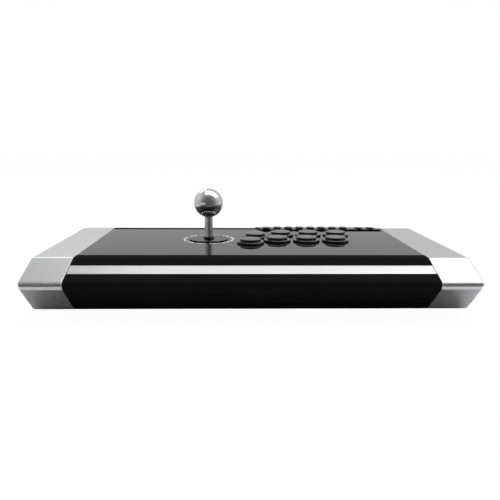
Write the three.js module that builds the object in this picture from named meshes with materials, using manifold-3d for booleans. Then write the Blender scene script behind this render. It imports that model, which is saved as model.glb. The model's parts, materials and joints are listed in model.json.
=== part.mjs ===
// Arcade joystick panel: a ball-top lever and eight push buttons on a wide hexagonal case.
// Frame: millimetres, +Z up, +X to the player's right, the player sits on the -Y side.
// The origin is on the surface that the feet stand on, under the middle of the case.
import * as THREE from "three";
import { mergeVertices } from "three/addons/utils/BufferGeometryUtils.js";
import Module from "manifold-3d";

const wasm = await Module();
wasm.setup();

// ---- driving dimensions -------------------------------------------------------------------------

const GAP = 0.3; // between pieces that touch
const PROUD = 1; // how far a cutter runs past the face that it starts from

const CASE = {
  halfWidth: 230,
  halfSeam: 187.5, // where the end panels meet the black body
  ridgeY: 97.2, // top face's front and rear edges
  upper: [136.8, 41.3], // the slopes' ends, as [y, z]: a small bevel leads from each to the nose
  lower: [137, 32.8],
  noseY: 138.6,
  baseY: 104.5,
  topZ: 56.8,
  noseTopZ: 39.7,
  noseBaseZ: 36.3,
  baseZ: 2.7,
  wall: 4,
};
const PANEL = { halfY: 84.8, cover: 2, plate: 2 }; // gloss cover over a steel plate
const BASE = { halfY: 92, thick: 1.6 };
const FOOT = { x: 150, y: 78, radius: 12 };
// Measured down the front slope.
const STRIP = { start: 14.3, width: 15.7, depth: 2, proud: 0.4, bevel: 0.6 };

const LEVER = {
  x: -51.3,
  y: 9.6,
  pivotZ: CASE.topZ - 22,
  tilt: 8.5, // degrees each way
  ballRadius: 17.5,
  ballZ: CASE.topZ + 45.2,
  shaftRadius: 4.95,
  coreRadius: 3.95, // the shaft's lower end, through the pivot ball
  holeRadius: 12,
  pivotBall: 7.5,
  linerInner: 7.9,
  linerOuter: 9.6,
  seat: 10,
};
const BUTTON = {
  pitch: 36,
  rows: 39.5,
  frontX: 33.3, // second button of the front row
  frontY: -1.7,
  rearShift: 7.4,
  firstX: 33.4, // the first column stands this far left and this much nearer
  firstY: 13.5,
  rimRadius: 16.65,
  rimHigh: 3,
  barrelRadius: 14.9,
  holeRadius: 15.2,
  capRadius: 12.4,
  capHigh: 5.6,
  depth: 24,
};
const OPTION = {
  leftX: 18.4, // front edge of the slanted plate
  rightX: 185.6,
  frontY: 77.3,
  backY: 96.4,
  lean: 0.476, // sideways run for each millimetre of depth
  high: 1.5,
  thick: 3.5,
  lip: 1.5,
  capRadius: 5.2,
  capHigh: 1.8,
  pitch: 15.4,
};
const HATCH = { x: -85, halfWidth: 56, start: 5, length: 32, thick: 2.4, barrel: 2, pin: 0.9 };
const CABLE_BAY = { frontY: 70, floorZ: 17, wall: 1.6, margin: 3 };

// ---- shapes and solids --------------------------------------------------------------------------

/** A closed geometry as a solid: shared vertices merged, the slivers at a lathe's axis dropped. */
function solid(geometry) {
  const bare = new THREE.BufferGeometry();
  bare.setAttribute("position", geometry.getAttribute("position"));
  if (geometry.index) bare.setIndex(geometry.index);
  const merged = mergeVertices(bare, 1e-4);
  const index = merged.index.array;
  const kept = [];
  for (let i = 0; i < index.length; i += 3) {
    const [a, b, c] = index.slice(i, i + 3);
    if (a !== b && b !== c && c !== a) kept.push(a, b, c);
  }
  const vertProperties = merged.attributes.position.array;
  return new wasm.Manifold(new wasm.Mesh({ numProp: 3, vertProperties, triVerts: new Uint32Array(kept) }));
}

function box(low, high) {
  const size = high.map((value, axis) => value - low[axis]);
  const geometry = new THREE.BoxGeometry(...size);
  geometry.translate(...low.map((value, axis) => value + size[axis] / 2));
  return solid(geometry);
}

const outline = (points) => new THREE.Shape(points.map(([a, b]) => new THREE.Vector2(a, b)));

/** An outline of (y, z) points, drawn out along X. */
function prismX(points, fromX, toX) {
  const geometry = new THREE.ExtrudeGeometry(outline(points), { depth: toX - fromX, bevelEnabled: false });
  const yAxis = new THREE.Vector3(0, 1, 0);
  const zAxis = new THREE.Vector3(0, 0, 1);
  const xAxis = new THREE.Vector3(1, 0, 0);
  geometry.applyMatrix4(new THREE.Matrix4().makeBasis(yAxis, zAxis, xAxis));
  return solid(geometry.translate(fromX, 0, 0));
}

/** An outline of (x, y) points, drawn up along Z. */
function prismZ(points, fromZ, toZ) {
  const geometry = new THREE.ExtrudeGeometry(outline(points), { depth: toZ - fromZ, bevelEnabled: false });
  return solid(geometry.translate(0, 0, fromZ));
}

/** A profile of [radius, z] points turned about Z. It starts and ends on the axis, or closes on itself. */
function turned(profile, segments = 24) {
  const points = profile.map(([radius, z]) => new THREE.Vector2(radius, z));
  return solid(new THREE.LatheGeometry(points, segments).rotateX(Math.PI / 2));
}

/** A ring's profile, closed on itself, from its [radius, z] corners. */
const ring = (corners) => [...corners, corners[0]];

const disc = (radius, lowZ, highZ) => [[0, lowZ], [radius, lowZ], [radius, highZ], [0, highZ]];

const tube = (inner, outer, lowZ, highZ) =>
  ring([[inner, lowZ], [outer, lowZ], [outer, highZ], [inner, highZ]]);

/** Points of a circle about (0, centreZ) as [radius, z], from one height above the centre to another. */
function arc(radius, centreZ, from, to, steps) {
  const [start, end] = [from, to].map((height) => Math.asin(height / radius));
  return Array.from({ length: steps + 1 }, (_, i) => {
    const angle = start + ((end - start) * i) / steps;
    return [radius * Math.cos(angle), centreZ + radius * Math.sin(angle)];
  });
}

/** A round bar along a list of points. */
function bar(points, radius, sides, steps) {
  const path = new THREE.CatmullRomCurve3(points.map((p) => new THREE.Vector3(...p)));
  const section = outline(
    Array.from({ length: sides }, (_, i) => {
      const angle = (2 * Math.PI * i) / sides;
      return [radius * Math.cos(angle), radius * Math.sin(angle)];
    }),
  );
  return solid(new THREE.ExtrudeGeometry(section, { steps, extrudePath: path }));
}

/** A convex outline with each side moved inwards by the same distance. */
function inset(points, distance) {
  let sides = points.map(([ax, ay], i) => {
    const [bx, by] = points[(i + 1) % points.length];
    const length = Math.hypot(bx - ax, by - ay);
    const [dx, dy] = [(bx - ax) / length, (by - ay) / length];
    return { x: ax - dy * distance, y: ay + dx * distance, dx, dy };
  });
  const cornersOf = () =>
    sides.map((side, i) => {
      const before = sides.at(i - 1);
      const cross = before.dx * side.dy - before.dy * side.dx;
      const along = ((side.x - before.x) * side.dy - (side.y - before.y) * side.dx) / cross;
      return [before.x + before.dx * along, before.y + before.dy * along];
    });
  // A short side that the move turns round has vanished, and its neighbours meet instead.
  let corners = cornersOf();
  const forward = (side, i) => {
    const [start, end] = [corners[i], corners[(i + 1) % corners.length]];
    return (end[0] - start[0]) * side.dx + (end[1] - start[1]) * side.dy > 0;
  };
  while (!sides.every(forward)) {
    sides = sides.filter(forward);
    corners = cornersOf();
  }
  return corners;
}

// ---- the case's side profile --------------------------------------------------------------------

// The rear of the case, from the base up to the ridge, as (y, z). The front is its mirror image.
const REAR = [
  [CASE.baseY, CASE.baseZ],
  CASE.lower,
  [CASE.noseY, CASE.noseBaseZ],
  [CASE.noseY, CASE.noseTopZ],
  CASE.upper,
  [CASE.ridgeY, CASE.topZ],
];
const mirrorY = (points) => points.map(([y, z]) => [-y, z]).reverse();
const PROFILE = [...REAR, ...mirrorY(REAR)]; // anticlockwise seen from +X

const SLOPE_RUN = CASE.upper[0] - CASE.ridgeY;
const SLOPE_FALL = CASE.topZ - CASE.upper[1];
const SLOPE = Math.hypot(SLOPE_RUN, SLOPE_FALL);

/** A point on a slope, `down` from the ridge and `out` from the surface, as (y, z); side -1 is the front. */
function onSlope(side, down, out) {
  const y = CASE.ridgeY + (down * SLOPE_RUN + out * SLOPE_FALL) / SLOPE;
  const z = CASE.topZ + (out * SLOPE_RUN - down * SLOPE_FALL) / SLOPE;
  return [side * y, z];
}

/** The front half of an outline like PROFILE, from the ridge down to the base. */
const frontHalf = (points) => points.slice(points.length / 2);

/** The black shell's front half as one folded wall, as (y, z). */
function bezelProfile() {
  return [
    [-PANEL.halfY, CASE.topZ],
    ...frontHalf(PROFILE),
    [-BASE.halfY, CASE.baseZ],
    [-BASE.halfY, CASE.baseZ + CASE.wall],
    ...frontHalf(inset(PROFILE, CASE.wall)).reverse(),
    [-PANEL.halfY, CASE.topZ - CASE.wall],
  ];
}

/** The slanted option plate's outline, as (x, y), grown or shrunk by `margin`. */
function optionOutline(margin) {
  const { leftX, rightX, frontY, backY, lean } = OPTION;
  const shift = (y) => -(y - frontY) * lean;
  const side = margin * Math.hypot(1, lean);
  const [front, back] = [frontY - margin, backY + margin];
  return [
    [leftX - side + shift(front), front],
    [rightX + side + shift(front), front],
    [rightX + side + shift(back), back],
    [leftX - side + shift(back), back],
  ];
}

// ---- places of the repeated pieces --------------------------------------------------------------

/** Centres of the eight play buttons: the front row from the left, then the rear row. */
const buttonPlaces = [0, 1].flatMap((row) =>
  [0, 1, 2, 3].map((column) => {
    const x = BUTTON.frontX + row * BUTTON.rearShift;
    const y = BUTTON.frontY + row * BUTTON.rows;
    return column === 0 ? [x - BUTTON.firstX, y - BUTTON.firstY] : [x + (column - 1) * BUTTON.pitch, y];
  }),
);

const HOME_PLACE = [24.6, 84.6];
const OPTION_ROW_Y = 87.6;
const OPTION_FIRST_X = 40.2;
const optionPlaces = Array.from({ length: 7 }, (_, i) => [OPTION_FIRST_X + i * OPTION.pitch, OPTION_ROW_Y]);
const slidePlaces = [154, 170].map((x) => [x, OPTION_ROW_Y - 0.6]);

// ---- materials ----------------------------------------------------------------------------------

const material = (color, roughness, metalness) =>
  new THREE.MeshStandardMaterial({ color, roughness, metalness });
const silver = material(0xc4c5c7, 0.35, 0.6);
const gloss = material(0x08090a, 0.05, 0);
const black = material(0x101112, 0.35, 0);
const strip = material(0xdadbdd, 0.3, 0.2);
const steel = material(0x8d9094, 0.4, 0.9);
const chrome = material(0xd9dadc, 0.08, 1);
const rubber = material(0x1a1a1b, 0.9, 0);
const board = material(0x1f5a35, 0.5, 0);
const nylon = material(0x2b2b2d, 0.6, 0);

const panel = new THREE.Group();

/** Adds a solid as a named mesh at a place. */
function add(name, made, finish, place = [0, 0, 0]) {
  const { vertProperties, triVerts } = made.getMesh();
  const geometry = new THREE.BufferGeometry();
  geometry.setAttribute("position", new THREE.BufferAttribute(vertProperties, 3));
  geometry.setIndex(new THREE.BufferAttribute(triVerts, 1));
  geometry.computeVertexNormals();
  const mesh = new THREE.Mesh(geometry, finish);
  mesh.name = name;
  mesh.position.set(...place);
  panel.add(mesh);
}

// ---- case ---------------------------------------------------------------------------------------

/** An end panel: a solid-faced cap, open towards the black body, with ribs across its hollow. */
function endPanel(side) {
  const ribs = 6;
  const ribPitch = 38;
  const ribHalf = 1;
  const face = 3;
  const inner = inset(PROFILE, CASE.wall);
  const [near, far] = [CASE.halfSeam, CASE.halfWidth];
  const span = (a, b) => [Math.min(side * a, side * b), Math.max(side * a, side * b)];
  let hollow = prismX(inner, ...span(near - PROUD, far - face));
  for (let i = 0; i < ribs; i += 1) {
    const y = (i - (ribs - 1) / 2) * ribPitch;
    const [lowX, highX] = span(near - 2 * PROUD, far);
    hollow = hollow.subtract(box([lowX, y - ribHalf, 0], [highX, y + ribHalf, CASE.topZ]));
  }
  return prismX(PROFILE, ...span(near, far)).subtract(hollow);
}
add("left_side_panel", endPanel(-1), silver);
add("right_side_panel", endPanel(1), silver);

const BODY_X = CASE.halfSeam - GAP;
const cutter = (down, width, depth) => [
  onSlope(-1, down, PROUD),
  onSlope(-1, down, -depth),
  onSlope(-1, down + width, -depth),
  onSlope(-1, down + width, PROUD),
];

const stripGroove = prismX(cutter(STRIP.start, STRIP.width, STRIP.depth), -BODY_X - PROUD, BODY_X + PROUD);
add("front_bezel", prismX(bezelProfile(), -BODY_X, BODY_X).subtract(stripGroove), black);

/** The light strip: a bar with bevelled edges that fills the groove in the front slope. */
function lightStrip() {
  const [start, end] = [STRIP.start + GAP, STRIP.start + STRIP.width - GAP];
  const profile = [
    [start, -STRIP.depth + GAP],
    [end, -STRIP.depth + GAP],
    [end, STRIP.proud - STRIP.bevel],
    [end - STRIP.bevel, STRIP.proud],
    [start + STRIP.bevel, STRIP.proud],
    [start, STRIP.proud - STRIP.bevel],
  ].map(([down, out]) => onSlope(-1, down, out));
  return prismX(profile, -BODY_X, BODY_X);
}
add("light_strip", lightStrip(), strip);

const optionCut = prismZ(optionOutline(-OPTION.lip + GAP), CASE.topZ - 3 * CASE.wall, CASE.topZ + PROUD);

const HINGE = { down: HATCH.start + HATCH.barrel, out: -HATCH.barrel };
const hingeLine = onSlope(1, HINGE.down, HINGE.out);
const alongX = (radius, fromX, toX) =>
  turned(disc(radius, fromX, toX), 16)
    .rotate([0, 90, 0])
    .translate([0, ...hingeLine]);

/** The rear shell: the front one turned round, with the hatch's opening and the option plate's cut-out. */
function rearBezel() {
  const clear = 0.6; // the hatch's barrel and edges turn inside this
  const opening = [
    onSlope(1, HATCH.start - clear, PROUD),
    onSlope(1, HATCH.start - clear, -2 * CASE.wall),
    onSlope(1, HATCH.start + HATCH.length + GAP, -2 * CASE.wall),
    onSlope(1, HATCH.start + HATCH.length + GAP, PROUD),
  ].reverse();
  const [left, right] = [HATCH.x - HATCH.halfWidth, HATCH.x + HATCH.halfWidth];
  const pinHole = alongX(HATCH.pin + GAP, left - 3, right + 3);
  return prismX(mirrorY(bezelProfile()), -BODY_X, BODY_X)
    .subtract(prismX(opening, left - GAP, right + GAP))
    .subtract(pinHole)
    .subtract(optionCut);
}
add("rear_bezel", rearBezel(), black);

/** The cable hatch: a flat flap that turns on the barrel and pins along its upper edge. */
function cableHatch() {
  const flap = [
    [HINGE.down, 0],
    [HATCH.start + HATCH.length, 0],
    [HATCH.start + HATCH.length, -HATCH.thick],
    [HINGE.down, -HATCH.thick],
  ]
    .map(([down, out]) => onSlope(1, down, out))
    .reverse();
  const [left, right] = [HATCH.x - HATCH.halfWidth, HATCH.x + HATCH.halfWidth];
  return prismX(flap, left, right)
    .add(alongX(HATCH.barrel, left, right))
    .add(alongX(HATCH.pin, left - 2.4, right + 2.4));
}
add("cable_hatch", cableHatch(), black);

/** The trough behind the hatch, where the cable is stowed: open above, with a hole for the gland. */
function cableBay() {
  const half = HATCH.halfWidth + CABLE_BAY.margin;
  const [left, right] = [HATCH.x - half, HATCH.x + half];
  const deep = CASE.noseY;
  const shell = (distance, extra) => {
    const [x0, x1] = [left + extra, right - extra];
    const room = box([x0, CABLE_BAY.frontY + extra, CABLE_BAY.floorZ + extra], [x1, deep, CASE.topZ]);
    return prismX(inset(PROFILE, distance), x0, x1).intersect(room);
  };
  const outer = shell(CASE.wall + 2 * GAP, 0);
  const under = box([left, 0, 0], [right, CASE.noseY, CASE.topZ - 2 * PANEL.cover - PANEL.plate]);
  const hollow = shell(CASE.wall + 2 * GAP + CABLE_BAY.wall, CABLE_BAY.wall);
  const mouth = hollow.translate([0, 0, 3 * CABLE_BAY.wall]);
  return outer.intersect(under).subtract(hollow).subtract(mouth).subtract(glandHole());
}
const GLAND = { x: HATCH.x + 30, z: 32, radius: 5.5, bore: 3.2 };
function glandHole() {
  const hole = turned(disc(GLAND.radius + GAP, -5, 5), 16).rotate([90, 0, 0]);
  return hole.translate([GLAND.x, CABLE_BAY.frontY, GLAND.z]);
}
add("cable_bay", cableBay(), nylon);

const glandProfile = ring([
  [GLAND.bore, -4],
  [GLAND.radius + 1.6, -4],
  [GLAND.radius + 1.6, -CABLE_BAY.wall - GAP],
  [GLAND.radius, -CABLE_BAY.wall - GAP],
  [GLAND.radius, 3],
  [GLAND.bore, 3],
]);
const gland = turned(glandProfile, 16).rotate([90, 0, 0]);
add("cable_gland", gland, rubber, [GLAND.x, CABLE_BAY.frontY, GLAND.z]);

/** A side wall of the chassis, inside the black shell's end: the end panels bolt on to it. */
function chassisWall(side) {
  const thick = 3;
  const clear = CASE.wall + GAP;
  const topZ = CASE.topZ - PANEL.cover - PANEL.plate - 2 * GAP;
  const [a, b] = [side * (BODY_X - thick), side * BODY_X];
  const [lowX, highX] = [Math.min(a, b), Math.max(a, b)];
  const limit = box([lowX, -CASE.noseY, 0], [highX, CASE.noseY, topZ]);
  return prismX(inset(PROFILE, clear), lowX, highX).intersect(limit);
}
add("left_chassis_wall", chassisWall(-1), steel);
add("right_chassis_wall", chassisWall(1), steel);

// ---- top panel ----------------------------------------------------------------------------------

/** A sheet of the top panel with the lever's and buttons' holes and the option plate's corner cut out. */
function panelSheet(topZ, thick) {
  const half = PANEL.halfY - GAP;
  const [lowZ, cutLow, cutHigh] = [topZ - thick, topZ - thick - PROUD, topZ + PROUD];
  const leverHole = turned(disc(LEVER.holeRadius, cutLow, cutHigh), 20).translate([LEVER.x, LEVER.y, 0]);
  const buttonHole = turned(disc(BUTTON.holeRadius, cutLow, cutHigh), 20);
  const holes = buttonPlaces.map(([x, y]) => buttonHole.translate([x, y, 0]));
  const cutters = [leverHole, optionCut, ...holes];
  const sheet = box([-BODY_X, -half, lowZ], [BODY_X, half, topZ]);
  return cutters.reduce((left, cut) => left.subtract(cut), sheet);
}
const PLATE_TOP = CASE.topZ - PANEL.cover - GAP;
const PLATE_BASE = PLATE_TOP - PANEL.plate;
add("panel_cover", panelSheet(CASE.topZ, PANEL.cover), gloss);
add("top_plate", panelSheet(PLATE_TOP, PANEL.plate), steel);

const baseHalfY = BASE.halfY - GAP;
add(
  "base_plate",
  box([-BODY_X, -baseHalfY, CASE.baseZ], [BODY_X, baseHalfY, CASE.baseZ + BASE.thick]),
  steel,
);

const foot = turned(disc(FOOT.radius, 0, CASE.baseZ - GAP), 20);
for (const [along, y] of [["front", -FOOT.y], ["rear", FOOT.y]]) {
  add(`${along}_left_foot`, foot, rubber, [-FOOT.x, y, 0]);
  add(`${along}_right_foot`, foot, rubber, [FOOT.x, y, 0]);
}

// ---- play buttons -------------------------------------------------------------------------------

/** A button's housing, the panel at z = 0: a dished rim on a barrel, its neck keeping the plunger in. */
function buttonRim() {
  const { rimRadius, rimHigh, barrelRadius, capRadius, depth } = BUTTON;
  const neck = capRadius + GAP;
  const bore = neck + 1;
  return turned(
    [
      [0, -depth],
      [barrelRadius, -depth],
      [barrelRadius, GAP],
      [rimRadius, GAP],
      [rimRadius, 1.6],
      [rimRadius - 1.2, rimHigh],
      [rimRadius - 2.6, rimHigh],
      [neck, rimHigh - 1.6],
      [neck, -2],
      [bore, -2],
      [bore, 2 - depth],
      [0, 2 - depth],
    ],
    20,
  );
}

/** A button's plunger: a crowned cap on a hollow skirt with a retaining lip. */
function buttonPlunger() {
  const { capRadius, capHigh } = BUTTON;
  const skirt = 1.6;
  const lip = capRadius + 0.9;
  return turned(
    [
      [0, capHigh - 2.4],
      [capRadius - skirt, capHigh - 2.4],
      [capRadius - skirt, -6],
      [lip, -6],
      [lip, -2 - GAP],
      [capRadius, -2 - GAP],
      [capRadius, capHigh - 0.8],
      [capRadius - 1.2, capHigh],
      [0, capHigh],
    ],
    20,
  );
}
const rim = buttonRim();
const plunger = buttonPlunger();
buttonPlaces.forEach(([x, y], i) => {
  add(`button_${i + 1}_rim`, rim, black, [x, y, CASE.topZ]);
  add(`button_${i + 1}_plunger`, plunger, black, [x, y, CASE.topZ]);
});

// ---- option plate -------------------------------------------------------------------------------

/** A slanted slot or slider outline about a centre, as (x, y). */
function slanted(halfX, halfY) {
  const shift = halfY * OPTION.lean;
  return [
    [-halfX + shift, -halfY],
    [halfX + shift, -halfY],
    [halfX - shift, halfY],
    [-halfX - shift, halfY],
  ];
}
const SLOT = { halfX: 3.2, halfY: 7, slider: 3.6, clear: 0.35, knobHigh: 1.3 };

function optionPlate() {
  const top = CASE.topZ + OPTION.high;
  const flange = prismZ(optionOutline(0), CASE.topZ + GAP, top);
  const body = prismZ(optionOutline(-OPTION.lip), top - OPTION.thick, top);
  const [low, high] = [top - OPTION.thick - PROUD, top + PROUD];
  const holes = [HOME_PLACE, ...optionPlaces].map(([x, y]) =>
    turned(disc(OPTION.capRadius + GAP, low, high), 16).translate([x, y, 0]),
  );
  const slot = prismZ(slanted(SLOT.halfX, SLOT.halfY), low, high);
  const slots = slidePlaces.map(([x, y]) => slot.translate([x, y, 0]));
  return [...holes, ...slots].reduce((left, cut) => left.subtract(cut), flange.add(body));
}
add("option_plate", optionPlate(), gloss);

/** A small option button: a cap with a lip under the plate. Its zero is the plate's top face. */
const optionCap = turned(
  [
    [0, -OPTION.thick - GAP - 0.9],
    [OPTION.capRadius + 0.7, -OPTION.thick - GAP - 0.9],
    [OPTION.capRadius + 0.7, -OPTION.thick - GAP],
    [OPTION.capRadius, -OPTION.thick - GAP],
    [OPTION.capRadius, OPTION.capHigh - 0.3],
    [OPTION.capRadius - 0.4, OPTION.capHigh],
    [0, OPTION.capHigh],
  ],
  16,
);
const optionTop = CASE.topZ + OPTION.high;
add("home_button", optionCap, black, [...HOME_PLACE, optionTop]);
optionPlaces.forEach(([x, y], i) => add(`option_button_${i + 1}`, optionCap, black, [x, y, optionTop]));

/** A slide switch's knob, with a foot wider than its slot. */
function sliderKnob() {
  const knob = prismZ(slanted(SLOT.halfX - SLOT.clear, SLOT.slider), -OPTION.thick - 1, SLOT.knobHigh);
  const footZ = -OPTION.thick - GAP;
  return knob.add(prismZ(slanted(SLOT.halfX + 1.2, SLOT.slider + 0.6), footZ - 1, footZ));
}
const knob = sliderKnob();
slidePlaces.forEach(([x, y], i) => add(`slide_switch_${i + 1}`, knob, black, [x, y, optionTop]));

/** The circuit board under the option plate, with one switch body for each control. */
function optionBoard() {
  const top = CASE.topZ - 7.4;
  const back = OPTION_ROW_Y + 4;
  const sheet = box([16, OPTION_ROW_Y - 11, top - 1.6], [180, back, top]);
  const switches = [HOME_PLACE, ...optionPlaces, ...slidePlaces].map(([x, y]) =>
    box([x - 3, y - 3, top - 0.2], [x + 3, y + 3, top + 2]),
  );
  return switches.reduce((whole, each) => whole.add(each), sheet);
}
add("option_board", optionBoard(), board);

// ---- lever --------------------------------------------------------------------------------------

const LEVER_AXIS = [LEVER.x, LEVER.y, 0];
const tangent = Math.tan((LEVER.tilt * Math.PI) / 180);

const shaftTop = LEVER.ballZ - 3;
const shoulder = LEVER.pivotZ + 5.8;
add(
  "lever_shaft",
  turned(
    [
      [0, 8],
      [LEVER.coreRadius, 8],
      [LEVER.coreRadius, shoulder],
      [LEVER.shaftRadius, shoulder],
      [LEVER.shaftRadius, shaftTop],
      [0, shaftTop],
    ],
    20,
  ),
  chrome,
  LEVER_AXIS,
);

const ballBore = turned(disc(LEVER.shaftRadius + GAP, 0, shaftTop + GAP), 20);
const ballReach = LEVER.ballRadius * 0.9999;
const ballArc = arc(LEVER.ballRadius, LEVER.ballZ, -ballReach, ballReach, 14).slice(1, -1);
const ball = turned(
  [[0, LEVER.ballZ - LEVER.ballRadius], ...ballArc, [0, LEVER.ballZ + LEVER.ballRadius]],
  24,
).subtract(ballBore);
add("ball_knob", ball, chrome, LEVER_AXIS);

const washerBase = CASE.topZ + GAP;
add(
  "dust_washer",
  turned(
    ring([
      [5.6, washerBase],
      [24, washerBase],
      [24, washerBase + 0.6],
      [23.6, washerBase + 0.9],
      [6.45, washerBase + 0.9],
      [6.45, washerBase + 3],
      [5.6, washerBase + 3],
    ]),
    24,
  ),
  black,
  LEVER_AXIS,
);

const lowerDiscTop = PLATE_BASE - GAP;
add("lower_dust_disc", turned(tube(9, 16.5, lowerDiscTop - 0.8, lowerDiscTop), 20), nylon, LEVER_AXIS);

/** The lever's bracket: a plate with a raised foot at each end that meets the top plate. */
function leverBracket() {
  const top = lowerDiscTop - 0.8 - GAP;
  const thick = 2;
  const [halfX, halfY, footLong] = [26, 47, 8];
  const feet = [-1, 1].map((side) => {
    const [a, b] = [side * (halfY - footLong), side * halfY].sort((m, n) => m - n);
    return box([-halfX, a, top - thick], [halfX, b, PLATE_BASE - GAP]);
  });
  return box([-halfX, -halfY, top - thick], [halfX, halfY, top])
    .add(feet[0])
    .add(feet[1])
    .subtract(turned(disc(11, 0, CASE.topZ), 20));
}
add("lever_bracket", leverBracket(), steel, LEVER_AXIS);

const housingTop = lowerDiscTop - 0.8 - 2 - 2 * GAP;
const housingBase = 23.8;
/** The lever's housing: a block with a round seat for the pivot and a bore above and below it. */
function leverHousing() {
  const half = 27;
  const reach = 5;
  const [lowBore, highBore] = [12, 10.5];
  const [lowLip, highLip] = [LEVER.pivotZ - reach - 2, LEVER.pivotZ + reach + 2];
  const seat = arc(LEVER.seat, LEVER.pivotZ, -reach, reach, 6);
  const below = [[0, 0], [lowBore, 0], [lowBore, lowLip]];
  const above = [[highBore, highLip], [highBore, CASE.topZ], [0, CASE.topZ]];
  const cavity = turned([...below, ...seat, ...above], 20);
  return box([-half, -half, housingBase], [half, half, housingTop]).subtract(cavity);
}
add("lever_housing", leverHousing(), nylon, LEVER_AXIS);

/** A ring with round inner and outer faces about the lever's pivot. */
function roundRing(inner, outer, reach) {
  const outside = arc(outer, LEVER.pivotZ, -reach, reach, 5);
  const inside = arc(inner, LEVER.pivotZ, reach, -reach, 5);
  return turned(ring([...outside, ...inside]), 20);
}
add("pivot_liner", roundRing(LEVER.linerInner, LEVER.linerOuter, 4.2), nylon, LEVER_AXIS);

const ballEnds = 5.5;
const pivotOutside = arc(LEVER.pivotBall, LEVER.pivotZ, -ballEnds, ballEnds, 6);
const pivotBore = LEVER.coreRadius + GAP;
const pivotInside = [ballEnds, -ballEnds].map((reach) => [pivotBore, LEVER.pivotZ + reach]);
add("pivot_ball", turned(ring([...pivotOutside, ...pivotInside]), 20), nylon, LEVER_AXIS);

const ACTUATOR = { radius: 7, lowZ: 9.9, highZ: 18.6 };
const actuator = turned(tube(LEVER.coreRadius + GAP, ACTUATOR.radius, ACTUATOR.lowZ, ACTUATOR.highZ), 20);
add("actuator", actuator, nylon, LEVER_AXIS);
add("shaft_clip", turned(tube(LEVER.coreRadius + GAP, 6, 8.6, 9.5), 16), steel, LEVER_AXIS);

/** The return spring: a helix between the actuator and the pivot ball. */
function returnSpring() {
  const [turns, radius, wire, steps] = [3, 6.2, 0.55, 16];
  const [low, high] = [ACTUATOR.highZ + 1, LEVER.pivotZ - ballEnds - 1];
  const points = Array.from({ length: turns * steps + 1 }, (_, i) => {
    const angle = (2 * Math.PI * i) / steps;
    const z = low + ((high - low) * i) / (turns * steps);
    return [radius * Math.cos(angle), radius * Math.sin(angle), z];
  });
  return bar(points, wire, 6, turns * steps);
}
add("return_spring", returnSpring(), steel, LEVER_AXIS);

/** The lever's circuit board, with four switches hanging round the actuator. */
function leverBoard() {
  const [half, top, thick] = [26, housingBase - GAP, 1.6];
  const [near, far, halfLong, low] = [12.4, 20, 9, 14];
  let whole = box([-half, -half, top - thick], [half, half, top]).subtract(turned(disc(12, 0, 60), 20));
  for (const side of [-1, 1]) {
    const [a, b] = [side * near, side * far].sort((m, n) => m - n);
    whole = whole.add(box([a, -halfLong, low], [b, halfLong, top - thick + 0.2]));
    whole = whole.add(box([-halfLong, a, low], [halfLong, b, top - thick + 0.2]));
  }
  return whole;
}
add("lever_board", leverBoard(), board, LEVER_AXIS);

/** The restrictor gate: a square opening that stops the actuator at full tilt. */
function restrictorGate() {
  const [half, low, high] = [26, 9.9, 13.4];
  const stop = ACTUATOR.radius + (LEVER.pivotZ - low) * tangent + 0.7;
  return box([-half, -half, low], [half, half, high]).subtract(box([-stop, -stop, 0], [stop, stop, 60]));
}
add("restrictor_gate", restrictorGate(), nylon, LEVER_AXIS);

// ---- electronics --------------------------------------------------------------------------------

/** The main circuit board, with its chips and connectors. */
function mainBoard() {
  const [lowX, highX, lowY, highY, base] = [62, 166, -72, -22, 8];
  const top = base + 1.6;
  const tall = (x, y, halfX, halfY, high) =>
    box([x - halfX, y - halfY, top - 0.2], [x + halfX, y + halfY, top + high]);
  return box([lowX, lowY, base], [highX, highY, top])
    .add(tall(114, -46, 8, 8, 2.2))
    .add(tall(70, -40, 3, 10, 6))
    .add(tall(140, -30, 14, 3, 6))
    .add(tall(140, -64, 14, 3, 6));
}
add("main_board", mainBoard(), board);

const harnessRoute = [
  [-22.6, 9.6, 18],
  [-8, 6, 17],
  [12, -6, 14.5],
  [34, -24, 13.2],
  [54, -36, 13],
  [66.6, -40, 13],
];
add("lever_harness", bar(harnessRoute, 1.6, 8, 16), rubber);

export default panel;
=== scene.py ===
"""The arcade joystick panel's looks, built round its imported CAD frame.

Metres, +Z up, the player on the -Y side.
"""

import json
import math

import bmesh
import bpy
from mathutils import Matrix, Vector


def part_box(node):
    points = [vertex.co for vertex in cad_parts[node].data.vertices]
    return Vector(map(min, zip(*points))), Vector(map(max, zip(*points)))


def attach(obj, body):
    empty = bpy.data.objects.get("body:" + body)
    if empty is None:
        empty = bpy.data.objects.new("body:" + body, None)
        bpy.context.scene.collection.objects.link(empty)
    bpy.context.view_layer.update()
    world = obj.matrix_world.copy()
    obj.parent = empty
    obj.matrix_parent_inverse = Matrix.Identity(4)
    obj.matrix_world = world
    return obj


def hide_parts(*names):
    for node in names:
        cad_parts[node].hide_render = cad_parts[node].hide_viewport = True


MM = 0.001
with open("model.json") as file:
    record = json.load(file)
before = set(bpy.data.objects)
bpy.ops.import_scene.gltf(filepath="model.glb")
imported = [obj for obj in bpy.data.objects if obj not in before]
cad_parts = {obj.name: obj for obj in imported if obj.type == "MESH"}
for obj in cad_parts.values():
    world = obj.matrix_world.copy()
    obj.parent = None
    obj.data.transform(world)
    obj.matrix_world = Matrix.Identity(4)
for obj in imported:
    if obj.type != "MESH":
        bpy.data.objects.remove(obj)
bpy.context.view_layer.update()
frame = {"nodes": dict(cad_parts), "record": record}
nodes = frame["nodes"]


# ---- outlines -----------------------------------------------------------------------------------


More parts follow.
